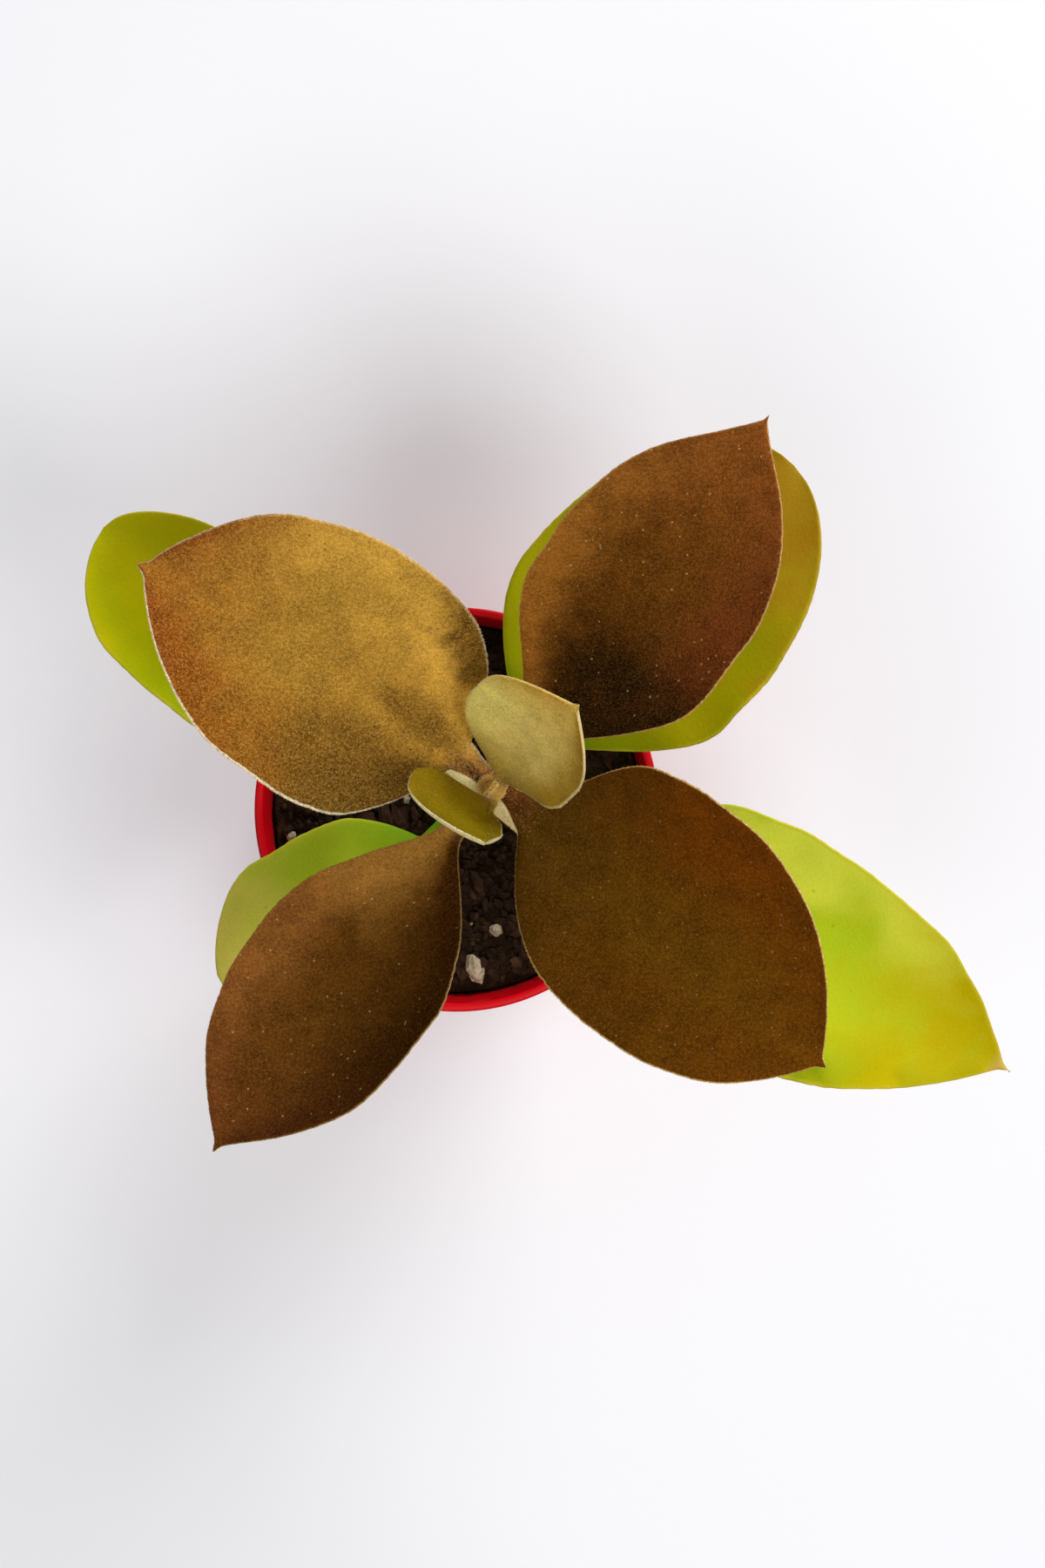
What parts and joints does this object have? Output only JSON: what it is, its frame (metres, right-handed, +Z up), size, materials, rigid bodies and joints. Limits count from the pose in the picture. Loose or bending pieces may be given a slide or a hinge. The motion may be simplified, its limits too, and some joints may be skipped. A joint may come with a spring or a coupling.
{
  "type": "potted copper spoons kalanchoe",
  "caption": "Young upright succulent with felted copper leaves over waxy green ones in opposite pairs, on a single stem in soil in a small round nursery pot.",
  "frame": {"origin": "middle of the pot's flat base, on the surface that it stands on", "axes": "+Z up along the pot's axis, +X and +Y to the right and to the top of the picture, which looks straight down"},
  "size_m": [0.1466, 0.112, 0.1508],
  "materials": {
    "pot_plastic": "satin",
    "potting_mix": "matte",
    "stem_skin": "matte",
    "bud_felt": "matte",
    "young_felt": "matte",
    "golden_felt": "matte",
    "copper_felt": "matte",
    "green_skin": "satin"
  },
  "bodies": {
    "root": {"pot": "pot_plastic", "soil": "potting_mix", "stem": "stem_skin", "terminal_bud": "bud_felt", "leaf_1_right": "young_felt", "leaf_1_left": "young_felt", "leaf_2_left": "golden_felt", "leaf_2_right": "copper_felt", "leaf_3_right": "copper_felt", "leaf_3_left": "copper_felt", "leaf_4_left": "green_skin", "leaf_4_right": "green_skin", "leaf_5_right": "green_skin", "leaf_5_left": "green_skin"}
  },
  "joints": []
}
